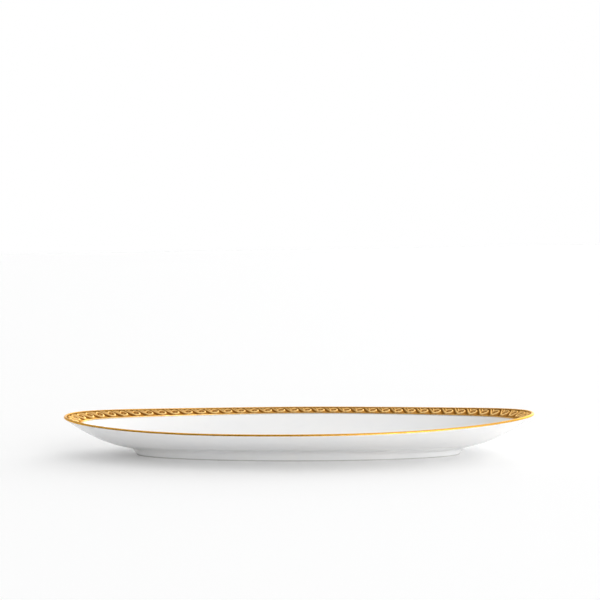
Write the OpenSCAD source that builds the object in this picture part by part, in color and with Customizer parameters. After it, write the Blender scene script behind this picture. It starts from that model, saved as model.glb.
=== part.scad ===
// Oval coupe serving platter in glazed porcelain, with a gilded lip and a gilded band of
// running scrolls in relief on the inner slope of the rim.
// +X runs along the length and +Z up. The origin is at the middle of the resting edge.

/* [Plan] */
// Length of the platter over the lip
platter_length = 400; // [340:5:520]
// Width of the platter over the lip
platter_width = 200; // [180:5:280]

/* [Height] */
// Height of the lip above the table, at the middle of the long sides
side_height = 29.2; // [26:0.2:40]
// How much higher the lip stands at the two ends
end_rise = 5.4; // [0:0.1:8]
// How closely that extra height is gathered at the ends, as a power of the distance along
end_rise_power = 3; // [1.5:0.5:5]
// Thickness of the porcelain in the middle of the base
base_thickness = 4.5; // [3.5:0.1:6]
// Share of the outer wall's rise that is a straight slope, the rest being a curve
wall_straightness = 0.38; // [0.3:0.02:0.7]

/* [Foot] */
// Distance in from the lip to the foot's resting edge, at the two ends
foot_inset_at_ends = 62; // [58:1:75]
// Distance in from the lip to the foot's resting edge, at the long sides
foot_inset_at_sides = 55.7; // [50:0.1:60]
// Width of the foot's resting edge
foot_edge_width = 3.6; // [2.5:0.1:5]
// Height of the recess inside the foot ring
recess_height = 5; // [4.5:0.1:6]
// How far the foot ring's outer face leans out from its resting edge to the base
foot_lean = 2.8; // [2:0.1:6]
// Height of the bare, unglazed edge at the bottom of the foot ring
bare_edge_height = 0.8; // [0.5:0.1:1.2]

/* [Rim] */
// Radius of the rolled lip
lip_radius = 1.3; // [1.1:0.05:1.8]
// Width of the gilded rim, from the lip's outer edge to the inner edge of the bead
band_width = 14.6; // [12:0.2:18]
// Drop from the top of the lip to the foot of the bead, at the middle of the long sides
band_drop = 4.3; // [4:0.1:6]
// How much further the band drops at the two ends
end_drop = 2.3; // [0:0.1:3]
// Width of the plain bead that borders the band on its inner side
bead_width = 1.1; // [0.8:0.1:1.6]
// Thickness of the gilded layer
gilding_thickness = 0.35; // [0.2:0.05:0.5]

/* [Relief] */
// Number of scrolls around the band
scroll_count = 77; // [60:1:90]
// Height of the scrolls above the ground of the band
scroll_height = 1; // [0.6:0.1:1.4]
// Half the width of a scroll's raised stem at its widest
stem_half_width = 1; // [0.7:0.05:1.2]

/* [Hidden] */

half_length = platter_length / 2;
half_width = platter_width / 2;

// Straight facets around the platter, and along each curve of its section
columns = 128;
wall_steps = 6;
well_steps = 8;
fillet_steps = 4;

// Resting edge, and the top of the foot ring's outer face
foot_half_length = half_length - foot_inset_at_ends;
foot_half_width = half_width - foot_inset_at_sides;
foot_top_half_length = foot_half_length + foot_lean;
foot_top_half_width = foot_half_width + foot_lean;
foot_inner_slope = 1.2;

// Concave fillet from the foot ring to the outer wall, as [at the two ends, at the long sides]
fillet_reach = [3, 7];
fillet_rise = [1.3, 4.5];

// Well of the platter: its flat middle, and the height of that floor
floor_height = recess_height + base_thickness;
floor_half_length = foot_half_length - 16;
floor_half_width = foot_half_width - 16;

// Angles at which the lip's roll begins on the outside and ends on the inside
lip_start = -10;
lip_end = 140;
lip_step = 50;

// Ground of the relief band, as [inset from the lip's outer edge, height from its top]
ground_start = [2.9, -1.3];
ground_end = [band_width - bead_width, -band_drop];
bead_height = 0.55;

white = [0.96, 0.96, 0.95];
bare_white = [0.87, 0.85, 0.81];
gold = [0.83, 0.62, 0.22];

// Height of the lip's top above the table at outline angle t
function lip_height(t) = side_height + end_rise * pow(abs(cos(t)), end_rise_power);

// Share of the way across the band, inwards from the lip
function band_share(inset) = max(0, inset - 2 * lip_radius) / (band_width - 2 * lip_radius);

// Outward normal of the platter's outline at outline angle t
function outline_normal(t) =
    let (n = [half_width * cos(t), half_length * sin(t)])
    n / norm(n);

// Point on the rim at outline angle t; at is [inset, height] from the lip's outer top
function rim_point(t, at) =
    let (n = outline_normal(t))
    [
        half_length * cos(t) - at[0] * n[0],
        half_width * sin(t) - at[0] * n[1],
        lip_height(t) + at[1] - end_drop * band_share(at[0]) * pow(cos(t), 2)
    ];

function oval_point(t, a, b, z) = [a * cos(t), b * sin(t), z];

// Outline angle against distance along the middle of the band, so that spacing is even
arc_steps = 360;
band_middle = (ground_start + ground_end) / 2;
middle_line = [for (k = [0:arc_steps]) rim_point(360 * k / arc_steps, band_middle)];
function step_length(k) = norm(middle_line[min(k + 1, arc_steps)] - middle_line[k]);
arc_table = [
    for (k = 0, s = 0; k <= arc_steps; s = s + step_length(k), k = k + 1)
    [s, 360 * k / arc_steps]
];
arc_length = arc_table[arc_steps][0];
function angle_at(distance) = lookup(distance, arc_table);

column_angles = [for (i = [0:columns - 1]) angle_at(arc_length * i / columns)];

function rim_ring(at) = [for (t = column_angles) rim_point(t, at)];
function oval_ring(a, b, z) = [for (t = column_angles) oval_point(t, a, b, z)];

// Rise of a bowl from 0 at its middle to 1 at its edge, part straight and part curved
function bowl(s, straightness) = straightness * s + (1 - straightness) * s * s;

// Ring a share s of the way from a low ring up to a place on the rim
function bowl_ring(s, low, at, straightness) =
    let (high = rim_ring(at), share = [s, s, bowl(s, straightness)])
    [
        for (i = [0:columns - 1])
        [for (axis = [0:2]) low[i][axis] + share[axis] * (high[i][axis] - low[i][axis])]
    ];

// Points of the lip's roll at a given radius, from the outside over the top to the inside
function lip_arc(r) = [
    for (a = [lip_start:lip_step:lip_end])
    [lip_radius - r * cos(a), -lip_radius + r * sin(a)]
];
lip_outside = lip_arc(lip_radius);
lip_core = lip_arc(lip_radius - gilding_thickness);
lip_last = len(lip_core) - 1;

// Step down from a gilded surface to the porcelain under it, and the bead's inner edge
under = [0, -gilding_thickness];
bead_foot = [band_width, -band_drop];

// Skin through rings of equal length, with a flat cap on the first ring and on the last
module loft(rings) {
    n = len(rings[0]);
    last = (len(rings) - 1) * n;
    polyhedron(
        points = [for (ring = rings) each ring],
        faces = [
            [for (i = [0:n - 1]) i],
            for (r = [0:len(rings) - 2], i = [0:n - 1])
                let (j = (i + 1) % n)
                [r * n + i, (r + 1) * n + i, (r + 1) * n + j, r * n + j],
            [for (i = [n - 1:-1:0]) last + i]
        ]
    );
}

// Skin through rings that close on themselves, for a section carried all round
module hoop(rings) {
    n = len(rings[0]);
    m = len(rings);
    polyhedron(
        points = [for (ring = rings) each ring],
        faces = [
            for (r = [0:m - 1], i = [0:n - 1])
                let (j = (i + 1) % n, q = (r + 1) % m)
                [r * n + i, q * n + i, q * n + j, r * n + j]
        ]
    );
}

// Height that the fillet climbs at outline angle t
function fillet_climb(t) = fillet_rise[0] * pow(cos(t), 2) + fillet_rise[1] * pow(sin(t), 2);

// Ring of the concave fillet above the foot, a share s of the way along it
function fillet_ring(s) =
    let (out = bowl(s, 0.6), up = 1 - pow(1 - s, 2))
    [
        for (t = column_angles)
        oval_point(
            t,
            foot_top_half_length + fillet_reach[0] * out,
            foot_top_half_width + fillet_reach[1] * out,
            recess_height + fillet_climb(t) * up
        )
    ];

module platter_body() {
    wall_foot = fillet_ring(1);
    floor_edge = oval_ring(floor_half_length, floor_half_width, floor_height);
    color(white) loft([
        for (k = [0:fillet_steps]) fillet_ring(k / fillet_steps),
        for (k = [1:wall_steps])
            bowl_ring(k / wall_steps, wall_foot, lip_outside[0], wall_straightness),
        for (at = lip_core) rim_ring(at),
        rim_ring(ground_start + under),
        rim_ring(bead_foot + under),
        rim_ring(bead_foot),
        for (k = [well_steps - 1:-1:0]) bowl_ring(k / well_steps, floor_edge, bead_foot, 0)
    ]);
}

// Glazed ring between the base and the bare edge, with a leaning outer face
module foot_ring() {
    color(white) hoop([
        oval_ring(foot_half_length, foot_half_width, bare_edge_height),
        oval_ring(foot_top_half_length, foot_top_half_width, recess_height),
        oval_ring(
            foot_half_length - foot_edge_width - foot_inner_slope,
            foot_half_width - foot_edge_width - foot_inner_slope,
            recess_height
        ),
        oval_ring(foot_half_length - foot_edge_width, foot_half_width - foot_edge_width, bare_edge_height)
    ]);
}

// Bare edge that the platter stands on, with a flat underside
module foot_bearing_edge() {
    color(bare_white) linear_extrude(height = bare_edge_height) difference() {
        polygon([for (t = column_angles) [foot_half_length * cos(t), foot_half_width * sin(t)]]);
        polygon([
            for (t = column_angles)
            [
                (foot_half_length - foot_edge_width) * cos(t),
                (foot_half_width - foot_edge_width) * sin(t)
            ]
        ]);
    }
}

module lip_gilding() {
    color(gold) hoop([
        for (at = lip_outside) rim_ring(at),
        for (k = [lip_last:-1:0]) rim_ring(lip_core[k])
    ]);
}

module relief_ground() {
    color(gold) hoop([
        rim_ring(lip_outside[lip_last]),
        rim_ring(ground_start),
        rim_ring(ground_end),
        rim_ring(ground_end + under),
        rim_ring(ground_start + under),
        rim_ring(lip_core[lip_last])
    ]);
}

module inner_bead() {
    bead_top = [0, bead_height];
    bead_side = [bead_width / 4, 0];
    color(gold) hoop([
        rim_ring(ground_end),
        rim_ring(ground_end + bead_side + bead_top),
        rim_ring(bead_foot - bead_side + bead_top),
        rim_ring(bead_foot),
        rim_ring(bead_foot + under),
        rim_ring(ground_end + under)
    ]);
}

// Middle line of one scroll, in mm along the band and up towards the lip. Its straight stem
// starts near the lip on the left, runs down under the curl, and winds up and over the eye
curl_start_angle = -140;
curl_end_angle = 150;
curl_steps = 8;
curl_start_radius = 3.5;
curl_end_radius = 2.9;
stem_length = 7;
function curl_point(s) =
    let (
        a = curl_start_angle + s * (curl_end_angle - curl_start_angle),
        r = curl_start_radius + s * (curl_end_radius - curl_start_radius)
    )
    [r * cos(a), r * sin(a)];
stem_way = [-sin(curl_start_angle), cos(curl_start_angle)];
scroll_path = [
    curl_point(0) - stem_length * stem_way,
    curl_point(0) - stem_length / 2 * stem_way,
    for (k = [0:curl_steps]) curl_point(k / curl_steps)
];

// Place on or above the ground of the band; p is [along, up] in mm from scroll k's middle,
// where along runs clockwise as seen from above and up is towards the lip
band_span = norm(ground_end - ground_start);
function band_point(k, p, rise) =
    let (
        along = (k + 0.5) * arc_length / scroll_count - p[0] + arc_length,
        down = 0.5 - p[1] / band_span,
        at = ground_start + down * (ground_end - ground_start)
    )
    rim_point(angle_at(along % arc_length), at + [0, rise]);

// The raised line has its foot sunk into the gilded layer, so that the two are one
scroll_sink = gilding_thickness / 2;

// Share of its full width and of its full height that a scroll keeps at its two ends
end_width_share = 0.35;
end_height_share = 0.5;

// Ridge of three points a station, whose width and height taper towards both of its ends
module scroll(k) {
    stations = len(scroll_path);
    ridge = [
        for (i = [0:stations - 1])
        let (
            run = scroll_path[min(i + 1, stations - 1)] - scroll_path[max(i - 1, 0)],
            side = [-run[1], run[0]] / norm(run),
            fullness = sin(180 * (i + 0.7) / (stations + 0.4)),
            half = stem_half_width * (end_width_share + (1 - end_width_share) * fullness),
            top = scroll_height * (end_height_share + (1 - end_height_share) * fullness),
            middle = scroll_path[i]
        )
        each [
            band_point(k, middle + half * side, -scroll_sink),
            band_point(k, middle, top),
            band_point(k, middle - half * side, -scroll_sink)
        ]
    ];
    polyhedron(
        points = ridge,
        faces = [
            [0, 1, 2],
            for (i = [0:stations - 2], c = [0:2])
                let (d = (c + 1) % 3)
                [3 * i + c, 3 * i + 3 + c, 3 * i + 3 + d, 3 * i + d],
            [3 * stations - 1, 3 * stations - 2, 3 * stations - 3]
        ]
    );
}

// Low pointed boss in the middle of each curl
eye_radius = 0.7;
eye_sides = 6;
module eye(k) {
    polyhedron(
        points = [
            band_point(k, [0, 0], scroll_height),
            for (i = [0:eye_sides - 1])
            let (a = 360 * i / eye_sides)
            band_point(k, eye_radius * [cos(a), sin(a)], -scroll_sink)
        ],
        faces = [
            [for (i = [1:eye_sides]) i],
            for (i = [0:eye_sides - 1]) [0, (i + 1) % eye_sides + 1, i + 1]
        ]
    );
}

module scroll_relief() {
    color(gold) for (k = [0:scroll_count - 1]) {
        scroll(k);
        eye(k);
    }
}

platter_body();
foot_ring();
foot_bearing_edge();
lip_gilding();
relief_ground();
inner_bead();
scroll_relief();
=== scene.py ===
import math

import bmesh
import bpy
import numpy as np
from mathutils import Matrix, Vector


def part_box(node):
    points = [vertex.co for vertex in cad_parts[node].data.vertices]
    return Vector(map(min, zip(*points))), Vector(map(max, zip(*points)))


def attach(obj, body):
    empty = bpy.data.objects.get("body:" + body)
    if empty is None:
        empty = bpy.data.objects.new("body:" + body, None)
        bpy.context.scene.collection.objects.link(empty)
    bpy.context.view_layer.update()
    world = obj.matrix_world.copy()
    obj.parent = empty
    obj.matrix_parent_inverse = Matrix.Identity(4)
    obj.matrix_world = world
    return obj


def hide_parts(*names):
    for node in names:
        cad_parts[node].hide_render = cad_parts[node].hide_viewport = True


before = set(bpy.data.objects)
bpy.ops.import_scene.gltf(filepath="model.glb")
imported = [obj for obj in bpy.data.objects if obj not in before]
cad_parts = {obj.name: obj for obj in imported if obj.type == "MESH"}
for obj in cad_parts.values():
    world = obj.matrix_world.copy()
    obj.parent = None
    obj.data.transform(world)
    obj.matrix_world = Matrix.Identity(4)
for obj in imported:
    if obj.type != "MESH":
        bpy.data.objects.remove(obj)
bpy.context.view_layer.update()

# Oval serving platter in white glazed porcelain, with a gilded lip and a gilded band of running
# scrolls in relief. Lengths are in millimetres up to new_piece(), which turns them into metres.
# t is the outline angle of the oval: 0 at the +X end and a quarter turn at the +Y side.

MM = 0.001  # metres in a millimetre


def corners(node):
    """Lowest and highest corner of a CAD node, in millimetres."""
    low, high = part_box(node)
    return Vector(low) / MM, Vector(high) / MM


lip_low, lip_high = corners("lip_gilding")
_, ring_high = corners("foot_ring")
_, edge_high = corners("foot_bearing_edge")
_, bead_high = corners("inner_bead")

# Rim
LIP_RADIUS = 1.3
LIP_START = math.radians(-10)  # where the gilding begins, on the outside of the lip
LIP_END = math.radians(140)  # where the lip's roll meets the relief band
GILDING = 0.35  # thickness of the gold on the lip and in the band
HALF_LENGTH, HALF_WIDTH = lip_high.x, lip_high.y
END_TOP = lip_high.z
SIDE_TOP = lip_low.z + LIP_RADIUS * (1 - math.sin(LIP_START))
END_RISE_POWER = 3  # how closely the lip's extra height is gathered at the two ends

# Relief band and bead; a place is (inset from the lip's outer edge, height from the lip's top)
BEAD_WIDTH = 1.1
BEAD_HEIGHT = 0.55
BEAD_ROUNDING = 0.8  # 1 gives half an ellipse, less a fuller shape
BAND_DROP = 4.3  # from the lip's top to the band's inner edge, at the sides
END_DROP = 2.3  # how much further the band drops at the two ends
BAND_START = np.array([2.9, -1.3])
BAND_END = np.array([HALF_LENGTH - bead_high.x, -BAND_DROP])
BEAD_FOOT = BAND_END + [BEAD_WIDTH, 0]
UNDER_GILDING = np.array([0, -GILDING])
SCROLLS = 77

# Foot, wall and well; a size is an oval's (half length, half width)
FOOT = (edge_high.x, edge_high.y)
FOOT_TOP = (ring_high.x, ring_high.y)
FOOT_LEAN = FOOT_TOP[0] - FOOT[0]
FOOT_INNER_SLOPE = 1.2  # how much narrower the recess is at its top than at the bare edge
EDGE_WIDTH = 3.6
EDGE_ROUNDING = 0.7
BARE_HEIGHT = edge_high.z
RECESS_HEIGHT = ring_high.z
BASE_THICKNESS = 4.5
FILLET_REACH = (3.0, 7.0)  # at the two ends and at the long sides
FILLET_RISE = (1.3, 4.5)
FILLET_STRAIGHTNESS = 0.6
WALL_STRAIGHTNESS = 0.38
WELL_STRAIGHTNESS = 0
FLOOR_HEIGHT = RECESS_HEIGHT + BASE_THICKNESS
FLOOR_INSET = 16  # from the foot's outer edge to the edge of the well's flat middle

# Fineness of the meshes
OUTLINE_SAMPLES = 7201  # for measuring the length of the outline
PLAIN_COLUMNS = 480  # round the outline of the porcelain
GILDED_COLUMNS = 720  # round the outline of the plain gilded pieces
SCROLL_COLUMNS = 42  # along each scroll
SCROLL_ROWS = 26  # across the relief band
INNERMOST = 0.02  # size of a disc's smallest ring, as a share of the disc
SOFT_RECESS = 8  # rings of the recess that take part when its corner is rounded
SOFT_WALL = 10  # rings of the wall that take part when the fillet is rounded


# Outline and rings

def outline_normal(t):
    """Outward unit normal of the platter's outline, one row for each angle."""
    normal = np.stack([HALF_WIDTH * np.cos(t), HALF_LENGTH * np.sin(t)], axis=-1)
    return normal / np.linalg.norm(normal, axis=-1, keepdims=True)


def rim_ring(t, place):
    """Ring along the rim; place is (inset from the lip's outer edge, height from its top)."""
    normal = outline_normal(t)
    top = SIDE_TOP + (END_TOP - SIDE_TOP) * np.abs(np.cos(t)) ** END_RISE_POWER
    band_share = max(0, place[0] - 2 * LIP_RADIUS) / (BEAD_FOOT[0] - 2 * LIP_RADIUS)
    drop = END_DROP * band_share * np.cos(t) ** 2
    return np.stack([
        HALF_LENGTH * np.cos(t) - place[0] * normal[:, 0],
        HALF_WIDTH * np.sin(t) - place[0] * normal[:, 1],
        top + place[1] - drop,
    ], axis=-1)


def oval_ring(t, size, z):
    """Ring in the shape of an oval; z is one height, or a height for each angle."""
    return np.stack([size[0] * np.cos(t), size[1] * np.sin(t), np.full_like(t, z)], axis=-1)


def steps_after(start, end, count):
    """Even steps from start, which is left out, to end."""
    return np.linspace(start, end, count + 1)[1:]


def grown(size, by):
    """An oval's two half sizes, each made larger by the same amount."""
    return size[0] + by, size[1] + by


def bowl(s, straightness):
    """Rise of a bowl from 0 at its middle to 1 at its edge, part straight and part curved."""
    return straightness * s + (1 - straightness) * s * s


def disc_rings(t, size, z, shares):
    """Rings of a flat oval disc, each a share of its size."""
    return [oval_ring(t, np.multiply(size, s), z) for s in shares]


def face_rings(t, size, lean, start, end, shares):
    """Rings of a leaning face that goes outwards by its lean on its way between two heights."""
    return [oval_ring(t, grown(size, lean * s), start + (end - start) * s) for s in shares]


def fillet_rings(t, shares):
    """Rings of the concave rounding from the top of the foot ring into the wall."""
    climb = FILLET_RISE[0] * np.cos(t) ** 2 + FILLET_RISE[1] * np.sin(t) ** 2
    rings = []
    for s in shares:
        size = np.add(FOOT_TOP, np.multiply(FILLET_REACH, bowl(s, FILLET_STRAIGHTNESS)))
        rings.append(oval_ring(t, size, RECESS_HEIGHT + climb * (1 - (1 - s) ** 2)))
    return rings


def bowl_rings(t, shares, low, place, straightness):
    """Rings from a low ring (share 0) up to a place on the rim (share 1)."""
    high = rim_ring(t, place)
    rings = []
    for s in shares:
        rise = np.array([s, s, bowl(s, straightness)])
        rings.append(low + (high - low) * rise)
    return rings


def lip_places(radius, count):
    """Points round the lip's roll, from the outside over the top to the inside."""
    return [
        (LIP_RADIUS - radius * math.cos(a), -LIP_RADIUS + radius * math.sin(a))
        for a in np.linspace(LIP_START, LIP_END, count)
    ]


def even_angles(count):
    """Outline angles evenly spaced along the middle of the relief band, and its length."""
    fine = np.linspace(0, 2 * math.pi, OUTLINE_SAMPLES)
    line = rim_ring(fine, (BAND_START + BAND_END) / 2)
    distance = np.concatenate([[0], np.cumsum(np.linalg.norm(np.diff(line, axis=0), axis=1))])
    length = distance[-1]
    return np.interp(np.arange(count) / count * length, distance, fine), length


# Meshes

def quads(rows, columns, close_rows):
    """Faces between neighbouring rings of a grid that closes round its columns."""
    row = np.arange(rows if close_rows else rows - 1)[:, None]
    column = np.arange(columns)[None, :]
    next_row, next_column = (row + 1) % rows, (column + 1) % columns
    return np.stack([
        row * columns + column,
        row * columns + next_column,
        next_row * columns + next_column,
        next_row * columns + column,
    ], axis=-1).reshape(-1, 4)


def new_piece(name, rings, material, nodes, closed=True):
    """Mesh object through rings of points. A closed one joins its last ring to its first; an open
    one is shut by a fan of triangles to the middle of its first ring and of its last."""
    rings = np.array(rings)
    rows, columns = rings.shape[:2]
    points = rings.reshape(-1, 3)
    faces = quads(rows, columns, closed).tolist()
    if not closed:
        first, last = len(points), len(points) + 1
        points = np.concatenate([points, [rings[0].mean(axis=0), rings[-1].mean(axis=0)]])
        end = (rows - 1) * columns
        for i in range(columns):
            j = (i + 1) % columns
            faces.append([first, j, i])
            faces.append([last, end + i, end + j])
    mesh = bpy.data.meshes.new(name)
    mesh.from_pydata((points * MM).tolist(), [], faces)
    shape = bmesh.new()
    shape.from_mesh(mesh)
    bmesh.ops.recalc_face_normals(shape, faces=shape.faces)
    shape.to_mesh(mesh)
    shape.free()
    mesh.shade_smooth()
    mesh.materials.append(material)
    piece = bpy.data.objects.new(name, mesh)
    bpy.context.scene.collection.objects.link(piece)
    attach(piece, "root")
    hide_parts(*nodes)
    return piece


def soften(rings, first, last, passes):
    """Rounds the creases of a stack of rings between two of them, which stay where they are."""
    rings = np.array(rings)
    for _ in range(passes):
        middle = rings[first:last - 1] + rings[first + 2:last + 1] + 2 * rings[first + 1:last]
        rings[first + 1:last] = middle / 4
    return list(rings)


# Node trees

def add(tree, kind, values=None, **settings):
    """New node with its settings and inputs: a socket is linked, anything else is a value."""
    made = tree.nodes.new(kind)
    for key, value in settings.items():
        setattr(made, key, value)
    for key, value in (values or {}).items():
        socket = made.inputs[key]
        if isinstance(value, bpy.types.NodeSocket):
            tree.links.new(value, socket)
        else:
            socket.default_value = value
    return made


MIX_A, MIX_B, MIX_RESULT = 6, 7, 2  # colour sockets of the Mix node


def blend_colors(tree, factor, a, b):
    made = add(tree, "ShaderNodeMix", {"Factor": factor, MIX_A: a, MIX_B: b}, data_type="RGBA")
    return made.outputs[MIX_RESULT]


def noise(tree, place, size, detail=3.0, roughness=0.5):
    """Noise whose features are about size millimetres across."""
    made = add(tree, "ShaderNodeTexNoise",
               {"Vector": place, "Scale": 1 / (size * MM), "Detail": detail, "Roughness": roughness})
    return made.outputs["Fac"]


def spread(tree, value, low, high, from_low=0.0, from_high=1.0):
    """Value that goes from low to high while another goes from from_low to from_high."""
    made = add(tree, "ShaderNodeMapRange", {
        "Value": value, "From Min": from_low, "From Max": from_high, "To Min": low, "To Max": high,
    }, clamp=True)
    return made.outputs["Result"]


def new_material(name):
    """Material with its node tree, its shader and the place on the object, in metres."""
    material = bpy.data.materials.new(name)
    material.use_nodes = True
    tree = material.node_tree
    shader = tree.nodes["Principled BSDF"]
    place = add(tree, "ShaderNodeTexCoord").outputs["Object"]
    return material, tree, shader, place


def link(tree, shader, **sockets):
    """Links sockets to the shader's inputs of the same names."""
    for key, socket in sockets.items():
        tree.links.new(socket, shader.inputs[key.replace("_", " ")])


def bump(tree, height, distance):
    """Normal of a surface that rises by a distance in millimetres where height is 1."""
    made = add(tree, "ShaderNodeBump", {"Height": height, "Distance": distance * MM})
    return made.outputs["Normal"]


# Materials

def glazed_porcelain():
    """White body under a clear glaze that pools a little and never lies quite flat."""
    material, tree, shader, place = new_material("glazed_porcelain")
    pooled = noise(tree, place, 55, detail=2)
    fired = noise(tree, place, 9, detail=4)
    color = blend_colors(tree, spread(tree, pooled, 0, 1, 0.3, 0.7),
                         (0.85, 0.855, 0.86, 1), (0.875, 0.87, 0.86, 1))
    color = blend_colors(tree, spread(tree, fired, 0, 0.35, 0.45, 0.75), color,
                         (0.83, 0.835, 0.84, 1))
    link(tree, shader,
         Base_Color=color,
         Roughness=spread(tree, fired, 0.32, 0.42, 0.3, 0.7),
         Normal=bump(tree, noise(tree, place, 14, detail=1), 0.02))
    shader.inputs["Coat Weight"].default_value = 0.8
    shader.inputs["Coat Roughness"].default_value = 0.06
    shader.inputs["Coat IOR"].default_value = 1.5
    shader.inputs["Subsurface Weight"].default_value = 0.1
    shader.inputs["Subsurface Radius"].default_value = (1.0, 0.9, 0.8)
    shader.inputs["Subsurface Scale"].default_value = 1.2 * MM
    return material


def bare_porcelain():
    """Unglazed edge: matt, faintly sandy, greyer in patches where it has rubbed on the table. Its
    overall grey is partly that wear and partly painted shade, the dark contact shadow along the
    bottom of the foot.
    """
    material, tree, shader, place = new_material("bare_porcelain")
    grain = noise(tree, place, 0.35, detail=5, roughness=0.65)
    patches = noise(tree, place, 18, detail=3)
    # these greys are darker than bare porcelain, partly as rubbed wear and partly as painted shade
    # for the contact shadow under the foot
    color = blend_colors(tree, spread(tree, grain, 0, 1, 0.3, 0.7),
                         (0.5, 0.49, 0.47, 1), (0.64, 0.63, 0.61, 1))
    color = blend_colors(tree, spread(tree, patches, 0, 0.5, 0.45, 0.75), color,
                         (0.42, 0.415, 0.4, 1))
    link(tree, shader,
         Base_Color=color,
         Roughness=spread(tree, grain, 0.6, 0.85, 0.3, 0.7),
         Normal=bump(tree, grain, 0.05))
    return material


def finish_gold(tree, shader, place, color, roughness, edge_color=(1.0, 0.8, 0.5, 1)):
    """Gold of a colour and roughness, with fine brush marks. At its edges, where it is seen at a
    glancing angle, it takes on the edge colour."""
    fine = noise(tree, place, 0.5, detail=4, roughness=0.6)
    marks = spread(tree, fine, -0.04, 0.08, 0.3, 0.7)
    varied = add(tree, "ShaderNodeMath", {0: roughness, 1: marks}, operation="ADD").outputs[0]
    link(tree, shader, Base_Color=color, Roughness=varied, Normal=bump(tree, fine, 0.012))
    shader.inputs["Metallic"].default_value = 1.0
    shader.inputs["Specular Tint"].default_value = edge_color


def laid_colors(tree, place, bright, deep):
    """Colour and roughness of plain gold laid by brush, which varies in soft patches."""
    laid = noise(tree, place, 6, detail=4)
    color = blend_colors(tree, spread(tree, laid, 0, 1, 0.35, 0.65), deep, bright)
    return color, spread(tree, laid, 0.3, 0.22, 0.3, 0.7)


def lip_gold():
    """Deep gold of the lip, under a thin clear gloss."""
    material, tree, shader, place = new_material("lip_gold")
    color, roughness = laid_colors(tree, place, (0.82, 0.44, 0.06, 1), (0.74, 0.37, 0.045, 1))
    finish_gold(tree, shader, place, color, roughness, edge_color=(1.0, 0.78, 0.42, 1))
    shader.inputs["Coat Weight"].default_value = 0.35
    shader.inputs["Coat Roughness"].default_value = 0.2
    return material


def bead_gold():
    """Paler gold of the bead."""
    material, tree, shader, place = new_material("bead_gold")
    color, roughness = laid_colors(tree, place, (0.92, 0.6, 0.2, 1), (0.7, 0.38, 0.1, 1))
    finish_gold(tree, shader, place, color, roughness)
    return material


def relief_gold():
    """Gold whose colour carries painted shade and a painted highlight: deep and dark in the hollows,
    bright on top. It is also dull in the hollows and burnished on top.
    """
    material, tree, shader, place = new_material("relief_gold")
    # painted shade in the hollows and a painted highlight on top, set by the relief's height: hollow
    # is the shaded colour, top the lit one
    hollow, slope, top = (0.22, 0.08, 0.01, 1), (0.52, 0.25, 0.06, 1), (0.93, 0.63, 0.27, 1)
    level = add(tree, "ShaderNodeAttribute", attribute_name=RELIEF_LEVEL).outputs["Fac"]
    color = blend_colors(tree, spread(tree, level, 0, 1, 0.05, 0.45), hollow, slope)
    color = blend_colors(tree, spread(tree, level, 0, 1, 0.45, 0.85), color, top)
    finish_gold(tree, shader, place, color, spread(tree, level, 0.4, 0.16))
    return material


# Pieces

def porcelain_body(material):
    """Base, foot ring, wall, the core of the rim and the well, as one fired and glazed body."""
    t, _ = even_angles(PLAIN_COLUMNS)
    recess = grown(FOOT, -EDGE_WIDTH - FOOT_INNER_SLOPE)
    floor = grown(FOOT, -FLOOR_INSET)
    rings = disc_rings(t, recess, RECESS_HEIGHT, np.linspace(INNERMOST, 1, 24))
    recess_end = len(rings)
    rings += face_rings(t, recess, FOOT_INNER_SLOPE, RECESS_HEIGHT, BARE_HEIGHT,
                        steps_after(0, 1, 5))
    foot_out = len(rings)
    rings += face_rings(t, FOOT, FOOT_LEAN, BARE_HEIGHT, RECESS_HEIGHT, np.linspace(0, 1, 8))
    rings += fillet_rings(t, steps_after(0, 1, 8))
    fillet_end = len(rings)
    lip_edge = lip_places(LIP_RADIUS, 2)[0]
    rings += bowl_rings(t, steps_after(0, 1, 39), rings[-1], lip_edge, WALL_STRAIGHTNESS)
    wall_end = len(rings) - 1

    rings += [rim_ring(t, place) for place in lip_places(LIP_RADIUS - GILDING, 6)]
    rings.append(rim_ring(t, BAND_START + UNDER_GILDING))
    rings.append(rim_ring(t, BEAD_FOOT + UNDER_GILDING))
    floor_edge = oval_ring(t, floor, FLOOR_HEIGHT)
    rings += bowl_rings(t, np.linspace(1, 0, 36), floor_edge, BEAD_FOOT, WELL_STRAIGHTNESS)
    rings += disc_rings(t, floor, FLOOR_HEIGHT, steps_after(1, INNERMOST, 11))

    # The corner inside the foot, then the whole outer side, then the fillet most of all
    rings = soften(rings, recess_end - SOFT_RECESS, foot_out - 1, passes=3)
    rings = soften(rings, foot_out, wall_end, passes=4)
    rings = soften(rings, foot_out, fillet_end + SOFT_WALL, passes=30)
    return new_piece("porcelain_body", rings, material,
                     ("platter_body", "foot_ring"), closed=False)


def bare_foot_edge(material):
    """Rounded unglazed edge that the platter stands on, flat underneath."""
    t, _ = even_angles(PLAIN_COLUMNS)
    section = [(0, BARE_HEIGHT)]
    for a in np.linspace(0, math.pi / 2, 7):
        section.append((EDGE_ROUNDING * (1 - math.cos(a)), BARE_HEIGHT * (1 - math.sin(a))))
    inner = [(EDGE_WIDTH - inset, z) for inset, z in reversed(section)]
    rings = [oval_ring(t, grown(FOOT, -inset), z) for inset, z in section + inner]
    return new_piece("bare_foot_edge", rings, material, ("foot_bearing_edge",))


def gilded_lip(material):
    """Plain rolled lip, gilded a little way down its outside."""
    t, _ = even_angles(GILDED_COLUMNS)
    outside = lip_places(LIP_RADIUS, 15)
    core = lip_places(LIP_RADIUS - GILDING, 5)
    rings = [rim_ring(t, place) for place in outside + core[::-1]]
    return new_piece("gilded_lip", rings, material, ("lip_gilding",))


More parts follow.
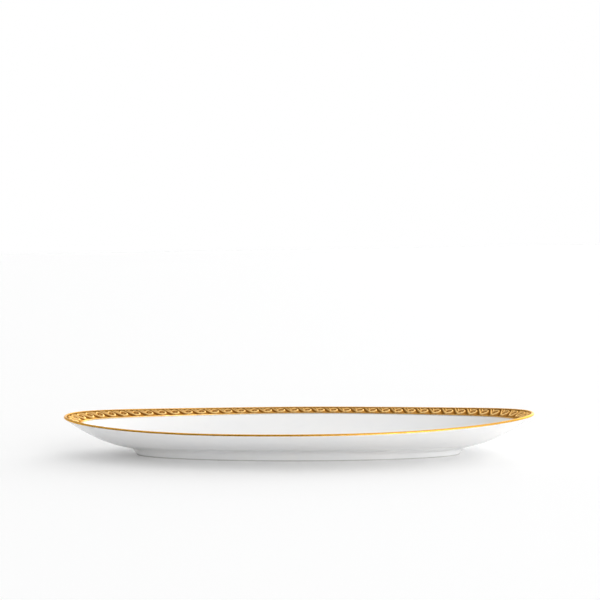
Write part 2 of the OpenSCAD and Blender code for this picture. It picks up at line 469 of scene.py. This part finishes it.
def gilded_bead(material):
    """Plain half-round bead along the inner edge of the band."""
    t, _ = even_angles(GILDED_COLUMNS)
    top = []
    for a in np.linspace(0, math.pi, 9):
        inset = BEAD_WIDTH / 2 * (1 - math.cos(a))
        top.append(BAND_END + [inset, BEAD_HEIGHT * math.sin(a) ** BEAD_ROUNDING])
    under = [BEAD_FOOT + UNDER_GILDING, BAND_END + UNDER_GILDING]
    rings = [rim_ring(t, place) for place in top + under]
    return new_piece("gilded_bead", rings, material, ("inner_bead",))


# Relief of one scroll, in mm: across runs clockwise as seen from above and up is towards the lip,
# both from the middle of the scroll's curl

STEM_START, STEM_MIDDLE = (-8.5, 5.2), (-5.4, 0.6)  # its end is the start of the curl
CURL_CENTER = (0.1, -0.2)
CURL_RADIUS = (3.5, 2.9)  # at the start and at the end
CURL_ANGLE = (-140, 150)  # in degrees, from the across direction
CURL_STRETCH = 1.12  # how much taller the curl is than it is wide
LEAF = ((-6.0, 5.2), (-4.0, 2.4), (-2.7, -0.9))
EYE = ((0.1, -0.1), (0.15, -0.1))
LINE_CUT = 0.06  # share of a half wave's swell that a line leaves out at each end
LINE_SWELL = 0.6  # the lower, the longer a line keeps its full width
LINE_ROUNDING = 0.75  # of a line's cross section: 0.5 is half an ellipse, 1 is a parabola
LINE_BLEND = 4  # how sharply crossing lines meet: the higher, the less they add up
VALLEY = ((-11.4, 5.6), (-7.0, 0.2), (-3.2, -6.0))  # bottom of the flute between two scrolls
VALLEY_WIDTH = 1.45  # level with the middle of the curl
VALLEY_TAPER = 0.05  # by which the flute narrows for each mm towards the lip
MOUND_HEIGHT = 0.5  # of the soft mound that carries each scroll's lines
HOLLOW_RADIUS = 2.3  # of the hollow that the curl surrounds
HOLLOW_SHARE = 0.8  # of the mound's height that is taken away there
RELIEF_LEVEL = "relief"  # the attribute that keeps how high the relief is, from 0 to 1, which relief_gold turns into painted shade and a painted highlight


def bowed(start, middle, end, count=40):
    """Points along a curve through three points."""
    s = np.linspace(0, 1, count)[:, None]
    pull = 2 * np.array(middle) - (np.array(start) + end) / 2
    return (1 - s) ** 2 * start + 2 * s * (1 - s) * pull + s ** 2 * np.array(end)


def curl_line(count=100):
    """Stem from near the lip, sweeping down under the curl and round it to its top."""
    angle = np.radians(np.linspace(*CURL_ANGLE, count))
    radius = np.linspace(*CURL_RADIUS, count)
    across = CURL_CENTER[0] + radius * np.cos(angle)
    up = CURL_STRETCH * radius * np.sin(angle) + CURL_CENTER[1]
    curl = np.stack([across, up], axis=-1)
    return np.concatenate([bowed(STEM_START, STEM_MIDDLE, curl[0])[:-1], curl])


def distances(spots, line):
    """Distance from every spot to every point of a line."""
    return np.linalg.norm(spots[:, None, :] - line[None, :, :], axis=-1)


def stroke(spots, line, half_width, height, start_share=0.35, end_share=0.55):
    """Height of a rounded ridge along a line, narrower and lower towards both of its ends."""
    s = np.linspace(0, 1, len(line))
    fullness = np.sin(math.pi * (LINE_CUT + (1 - 2 * LINE_CUT) * s)) ** LINE_SWELL
    ends = start_share + (end_share - start_share) * s
    share = ends + (1 - ends) * fullness
    inside = np.clip(1 - (distances(spots, line) / (half_width * share)) ** 2, 0, 1)
    return (height * share * inside ** LINE_ROUNDING).max(axis=1)


def scroll_relief(spots, pitch):
    """Height of the relief at spots of the band, given as (across, up)."""
    lines = np.zeros(len(spots))
    valley = np.full(len(spots), np.inf)
    hollow = np.zeros(len(spots))
    for turn in (-1, 0, 1):
        near = spots - [turn * pitch, 0]
        for height in (
            stroke(near, curl_line(), 1.0, 0.95, start_share=0.45, end_share=0.5),
            stroke(near, bowed(*LEAF), 0.7, 0.7),
            stroke(near, np.array(EYE), 1.0, 0.8, start_share=1, end_share=1),
        ):
            lines += height ** LINE_BLEND
        width = VALLEY_WIDTH - VALLEY_TAPER * near[:, 1]
        valley = np.minimum(valley, distances(near, bowed(*VALLEY)).min(axis=1) / width)
        hollow += np.exp(-(np.linalg.norm(near, axis=1) / HOLLOW_RADIUS) ** 4)
    mound = MOUND_HEIGHT * (1 - np.exp(-valley ** 2)) * (1 - HOLLOW_SHARE * hollow)
    return mound + lines ** (1 / LINE_BLEND)


def scroll_band(material):
    """Moulded and gilded relief band on the inner slope of the rim."""
    t, length = even_angles(SCROLLS * SCROLL_COLUMNS)
    pitch = length / SCROLLS
    width = float(np.linalg.norm(BAND_END - BAND_START))
    across = -pitch * (np.arange(SCROLL_COLUMNS) / SCROLL_COLUMNS - 0.5)
    shares = np.linspace(0, 1, SCROLL_ROWS)
    up = width * (0.5 - shares)
    spots = np.stack(np.meshgrid(across, up), axis=-1).reshape(-1, 2)
    height = scroll_relief(spots, pitch).reshape(SCROLL_ROWS, SCROLL_COLUMNS)
    plain_edge = 0.7
    fade = np.clip(np.minimum(shares, 1 - shares) * width / plain_edge, 0, 1)
    height *= (fade * fade * (3 - 2 * fade))[:, None]
    around = np.tile(height, (1, SCROLLS))

    rings = [rim_ring(t, lip_places(LIP_RADIUS, 2)[-1])]
    for share, row in zip(shares, around):
        ring = rim_ring(t, BAND_START + share * (BAND_END - BAND_START))
        ring[:, 2] += row
        rings.append(ring)
    rings.append(rim_ring(t, BAND_END + UNDER_GILDING))
    rings.append(rim_ring(t, BAND_START + UNDER_GILDING))
    rings.append(rim_ring(t, lip_places(LIP_RADIUS - GILDING, 2)[-1]))
    piece = new_piece("scroll_band", rings, material, ("relief_ground", "scroll_relief"))

    # levels that relief_gold turns into painted shade and a painted highlight; the ring beside the
    # lip gets a middling share of the painted shade
    beside_lip = 0.35
    levels = np.zeros((len(rings), len(t)))
    levels[0] = beside_lip
    levels[1:SCROLL_ROWS + 1] = around / height.max()
    kept = piece.data.attributes.new(RELIEF_LEVEL, "FLOAT", "POINT")
    kept.data.foreach_set("value", levels.ravel())
    return piece


# Studio

# Where the photographer stands: distance in metres and angles about the middle of the rim
CAMERA_DISTANCE = 1.5
CAMERA_AZIMUTH = math.radians(8.393)  # to the right of the platter's front
CAMERA_ELEVATION = math.radians(6.729)
CAMERA_ROLL = math.radians(1.119)
AIM_ABOVE = math.radians(3.866)  # how far above the rim's middle the lens points
AIM_RIGHT = math.radians(0.138)
LENS, SENSOR = 106.2, 36.0


def add_camera():
    """Camera at the photograph's viewing angle, far away with a long lens."""
    sin_a, cos_a = math.sin(CAMERA_AZIMUTH), math.cos(CAMERA_AZIMUTH)
    sin_e, cos_e = math.sin(CAMERA_ELEVATION), math.cos(CAMERA_ELEVATION)
    forward = Vector((-sin_a * cos_e, cos_a * cos_e, -sin_e))
    level = Vector((cos_a, sin_a, 0))
    upright = level.cross(forward)
    right = math.cos(CAMERA_ROLL) * level - math.sin(CAMERA_ROLL) * upright
    up = math.sin(CAMERA_ROLL) * level + math.cos(CAMERA_ROLL) * upright
    look = (forward + math.tan(AIM_RIGHT) * right + math.tan(AIM_ABOVE) * up).normalized()
    right = (right - right.dot(look) * look).normalized()
    turn = Matrix((right, right.cross(look), -look)).transposed()
    data = bpy.data.cameras.new("camera")
    data.lens, data.sensor_width = LENS, SENSOR
    camera = bpy.data.objects.new("camera", data)
    target = Vector((0, 0, SIDE_TOP * MM))
    camera.matrix_world = Matrix.Translation(target - CAMERA_DISTANCE * forward) @ turn.to_4x4()
    bpy.context.scene.collection.objects.link(camera)
    bpy.context.scene.camera = camera


def add_floor():
    """Plain white floor that runs out to the background, with a faint glow of its own."""
    reach = 8.0
    mesh = bpy.data.meshes.new("floor")
    square = [(-reach, -reach, 0), (reach, -reach, 0), (reach, reach, 0), (-reach, reach, 0)]
    mesh.from_pydata(square, [], [(0, 1, 2, 3)])
    material, _, shader, _ = new_material("floor")
    shader.inputs["Base Color"].default_value = (0.9, 0.9, 0.9, 1)
    shader.inputs["Roughness"].default_value = 0.8
    shader.inputs["Emission Color"].default_value = (1, 1, 1, 1)
    shader.inputs["Emission Strength"].default_value = 0.07
    mesh.materials.append(material)
    floor = bpy.data.objects.new("floor", mesh)
    bpy.context.scene.collection.objects.link(floor)


LOBE_CORE = 0.95  # cosine of the angle within which a lobe is even


def add_world():
    """White studio: a surround a little brighter towards the horizon, a low soft light at the
    front right, a weaker one behind on the right, and dark flags round the left. The camera
    itself sees plain white."""
    world = bpy.data.worlds.new("studio")
    world.use_nodes = True
    bpy.context.scene.world = world
    tree = world.node_tree
    tree.nodes.clear()
    way = add(tree, "ShaderNodeTexCoord").outputs["Generated"]

    def lobe(direction, edge, outside, inside):
        """Soft disc round a direction; edge is the cosine of its outer edge's angle."""
        axis = Vector(direction).normalized()
        facing = add(tree, "ShaderNodeVectorMath", {0: way, 1: axis}, operation="DOT_PRODUCT")
        made = add(tree, "ShaderNodeMapRange", {
            "Value": facing.outputs["Value"], "From Min": edge, "From Max": LOBE_CORE,
            "To Min": outside, "To Max": inside,
        }, interpolation_type="SMOOTHSTEP")
        return made.outputs["Result"]

    def light(direction, edge, strength):
        return lobe(direction, edge, 0, strength)

    def flag(direction, edge, let_through=0.0):
        return lobe(direction, edge, 1, let_through)

    def combined(operation, first, *others):
        for other in others:
            first = add(tree, "ShaderNodeMath", {0: first, 1: other}, operation=operation).outputs[0]
        return first

    height = add(tree, "ShaderNodeSeparateXYZ", {"Vector": way}).outputs["Z"]
    dome = spread(tree, height, 1.40, 1.055, 0, 0.4)
    key = light((0.53, -0.84, 0.03), 0.77, 3.1)
    back = light((0.45, 0.86, 0.26), 0.8, 1.2)
    front_flag = flag((-0.29, -0.79, 0.54), 0.75)
    side_flag = flag((-0.86, -0.5, 0.11), 0.68)
    far_flag = flag((-0.64, 0.64, 0.42), 0.83, let_through=0.5)
    lights = combined("ADD", key, back, dome)
    flags = combined("MULTIPLY", front_flag, side_flag, far_flag)
    strength = combined("MULTIPLY", lights, flags)
    lit = add(tree, "ShaderNodeBackground", {"Color": (1, 1, 1, 1), "Strength": strength})
    seen = add(tree, "ShaderNodeBackground", {"Color": (1, 1, 1, 1), "Strength": 1.0})
    chosen = add(tree, "ShaderNodeMixShader", {
        0: add(tree, "ShaderNodeLightPath").outputs["Is Camera Ray"],
        1: lit.outputs[0], 2: seen.outputs[0],
    })
    add(tree, "ShaderNodeOutputWorld", {"Surface": chosen.outputs[0]})


add_camera()
add_floor()
add_world()
bpy.context.scene.view_settings.view_transform = "Standard"

porcelain_body(glazed_porcelain())
bare_foot_edge(bare_porcelain())
gilded_lip(lip_gold())
gilded_bead(bead_gold())
scroll_band(relief_gold())
